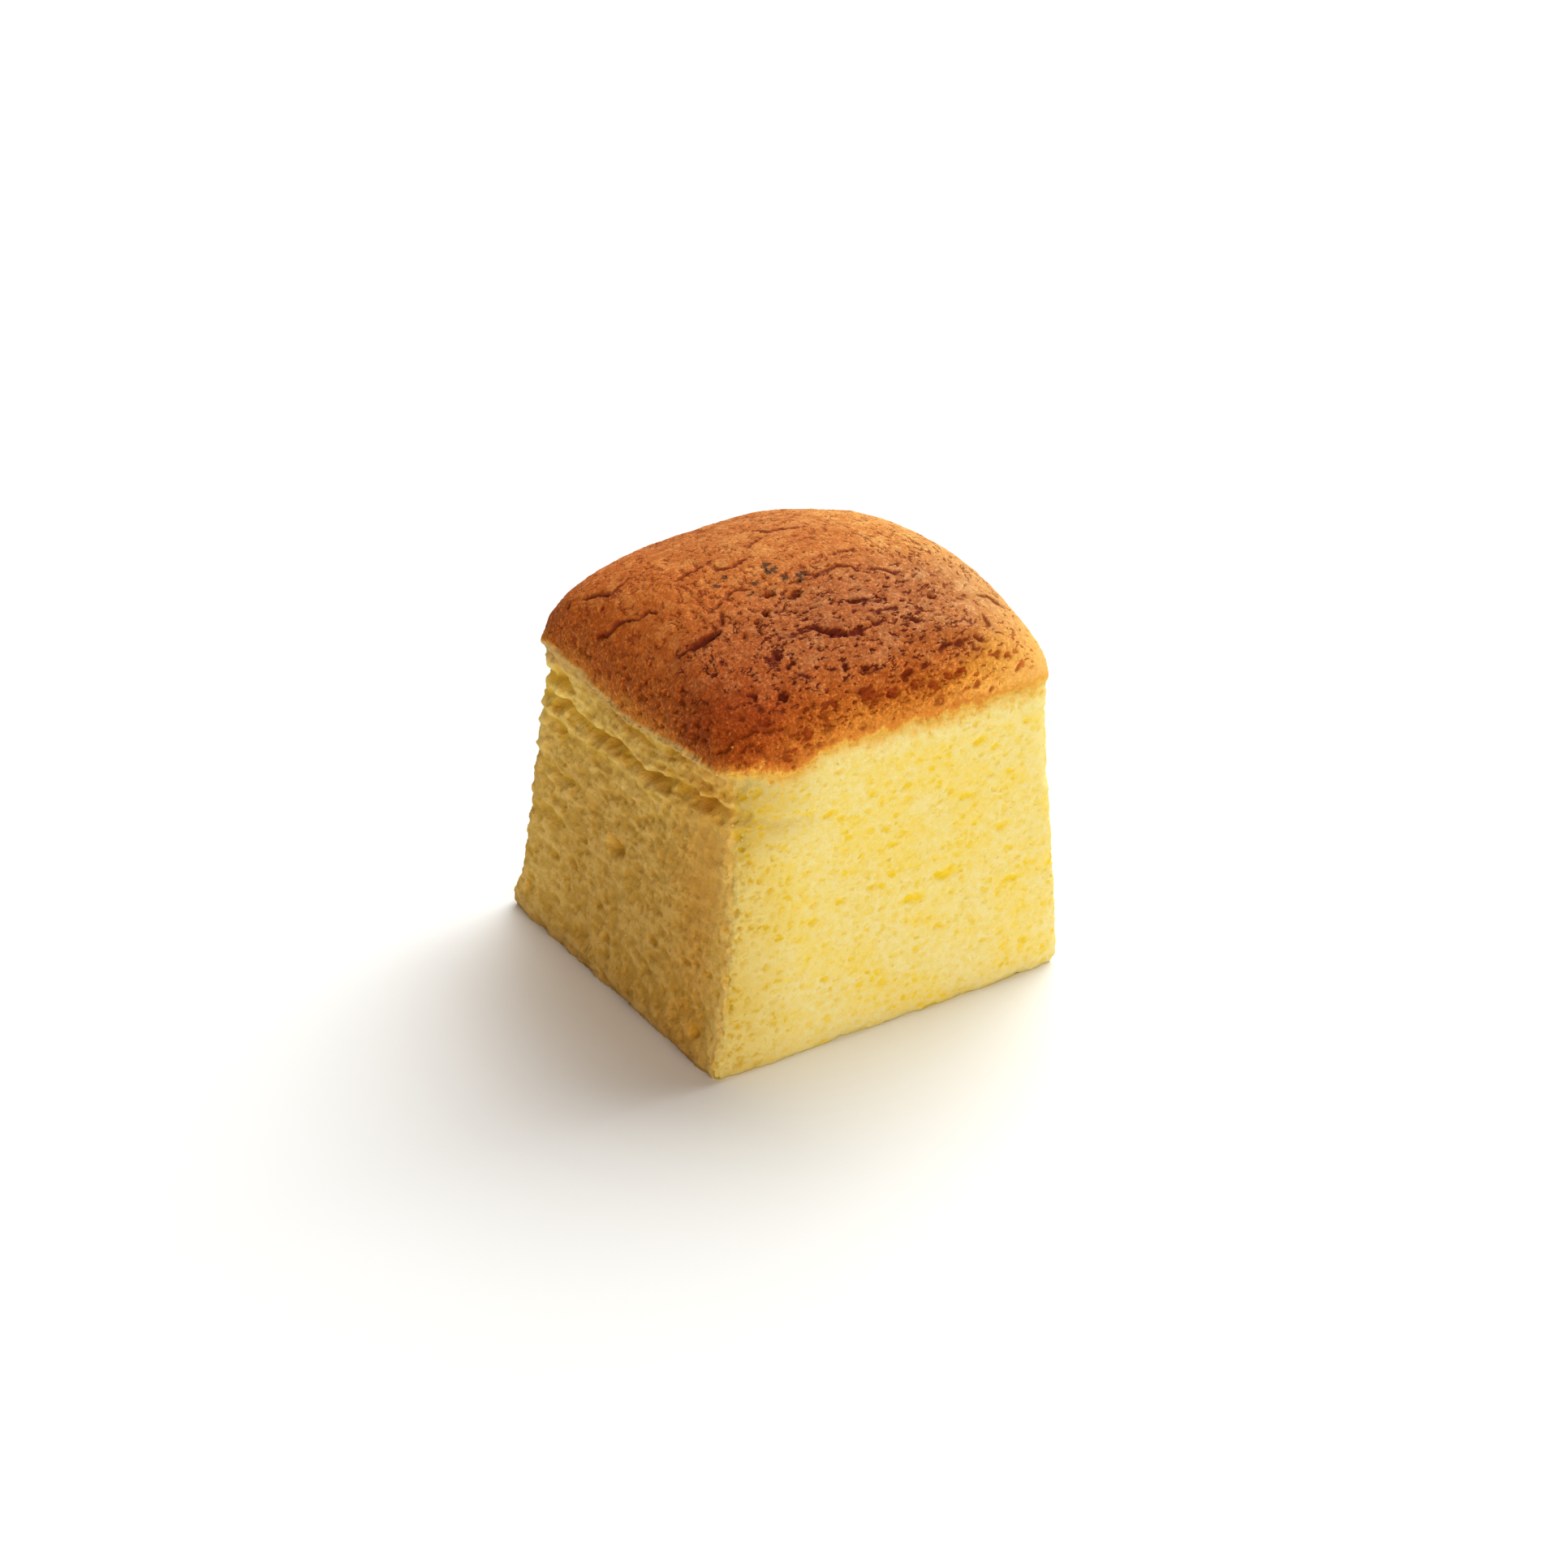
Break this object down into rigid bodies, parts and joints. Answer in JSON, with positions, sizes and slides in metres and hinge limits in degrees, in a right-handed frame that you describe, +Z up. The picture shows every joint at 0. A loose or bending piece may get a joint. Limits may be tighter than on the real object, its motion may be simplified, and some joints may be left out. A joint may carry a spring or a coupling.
{
  "type": "cotton cheesecake",
  "caption": "Small square cotton cheesecake: a soft yellow sponge block with creased side walls under a domed, browned crust.",
  "frame": {"origin": "centre of the bounding box's underside, on the surface that the cake stands on", "axes": "+Z up through the crown, -Y out of the even front wall, -X out of the creased left wall"},
  "size_m": [0.0586, 0.058, 0.0628],
  "materials": {
    "sponge": "soft matte sponge with open pores, darkening to a browned, finely cracked crust on the dome"
  },
  "bodies": {
    "root": {"cheesecake": "sponge"}
  },
  "joints": []
}
